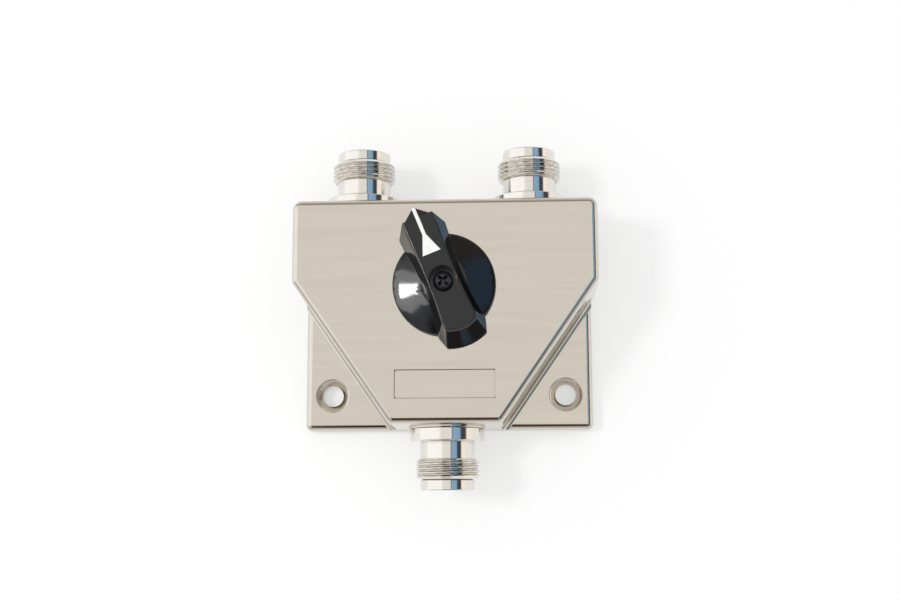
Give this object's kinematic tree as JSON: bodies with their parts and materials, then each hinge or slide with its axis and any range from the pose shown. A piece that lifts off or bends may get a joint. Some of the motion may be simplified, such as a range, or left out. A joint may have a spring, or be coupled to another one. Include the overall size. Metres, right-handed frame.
{
  "type": "coaxial antenna switch",
  "caption": "Die-cast coaxial switch with a bar knob, threaded sockets at the top and bottom edges and two drilled mounting ears.",
  "frame": {"origin": "the knob's axis at the back plane that the switch rests on", "axes": "+Z out of the face along the knob's axis, +Y towards the two output sockets, +X to the right seen from the front"},
  "size_m": [0.076, 0.085, 0.034],
  "materials": {
    "case_nickel": "bright nickel plate on a die casting, faintly streaked",
    "cover_nickel": "satin nickel-plated pressed plate",
    "screw_steel": "bright zinc-plated steel",
    "socket_nickel": "bright nickel plate on turned brass",
    "insulator_white": "white fluoroplastic, waxy",
    "contact_gold": "gold-plated beryllium copper",
    "strip_silver": "silver-plated brass, dull",
    "spring_bronze": "rolled spring bronze",
    "bush_brass": "turned brass",
    "shaft_brass": "turned brass",
    "wheel_brass": "stamped brass",
    "clip_steel": "spring steel",
    "hub_nylon": "natural nylon",
    "knob_black": "glossy black thermoset",
    "mark_white": "filled white paint",
    "screw_black": "black-oxide steel"
  },
  "bodies": {
    "case": {"housing": "case_nickel", "back_cover": "cover_nickel", "back_cover_screws": "screw_steel", "common_socket_shell": "socket_nickel", "common_socket_insulator": "insulator_white", "common_centre_contact": "contact_gold", "output_1_socket_shell": "socket_nickel", "output_1_socket_insulator": "insulator_white", "output_1_centre_contact": "contact_gold", "output_2_socket_shell": "socket_nickel", "output_2_socket_insulator": "insulator_white", "output_2_centre_contact": "contact_gold", "socket_nuts": "socket_nickel", "common_strip": "strip_silver", "output_1_strip": "strip_silver", "output_2_strip": "strip_silver", "shaft_bush": "bush_brass", "detent_spring": "spring_bronze", "detent_spring_screw": "screw_steel", "stop_pin": "screw_steel"},
    "selector": {"shaft": "shaft_brass", "shaft_retaining_ring": "clip_steel", "detent_wheel": "wheel_brass", "ground_fork": "spring_bronze", "rotor_hub": "hub_nylon", "signal_blade": "strip_silver", "blade_rivets": "shaft_brass", "rotor_clip": "clip_steel", "knob": "knob_black", "pointer_mark": "mark_white", "knob_screw": "screw_black"}
  },
  "joints": [
    {"name": "knob_turn", "type": "hinge", "parent": "case", "child": "selector", "pos_m": [0, 0, 0.0125], "axis": [0, 0, 1], "range_deg": [-45, 0], "deforming": ["detent_spring"]}
  ]
}
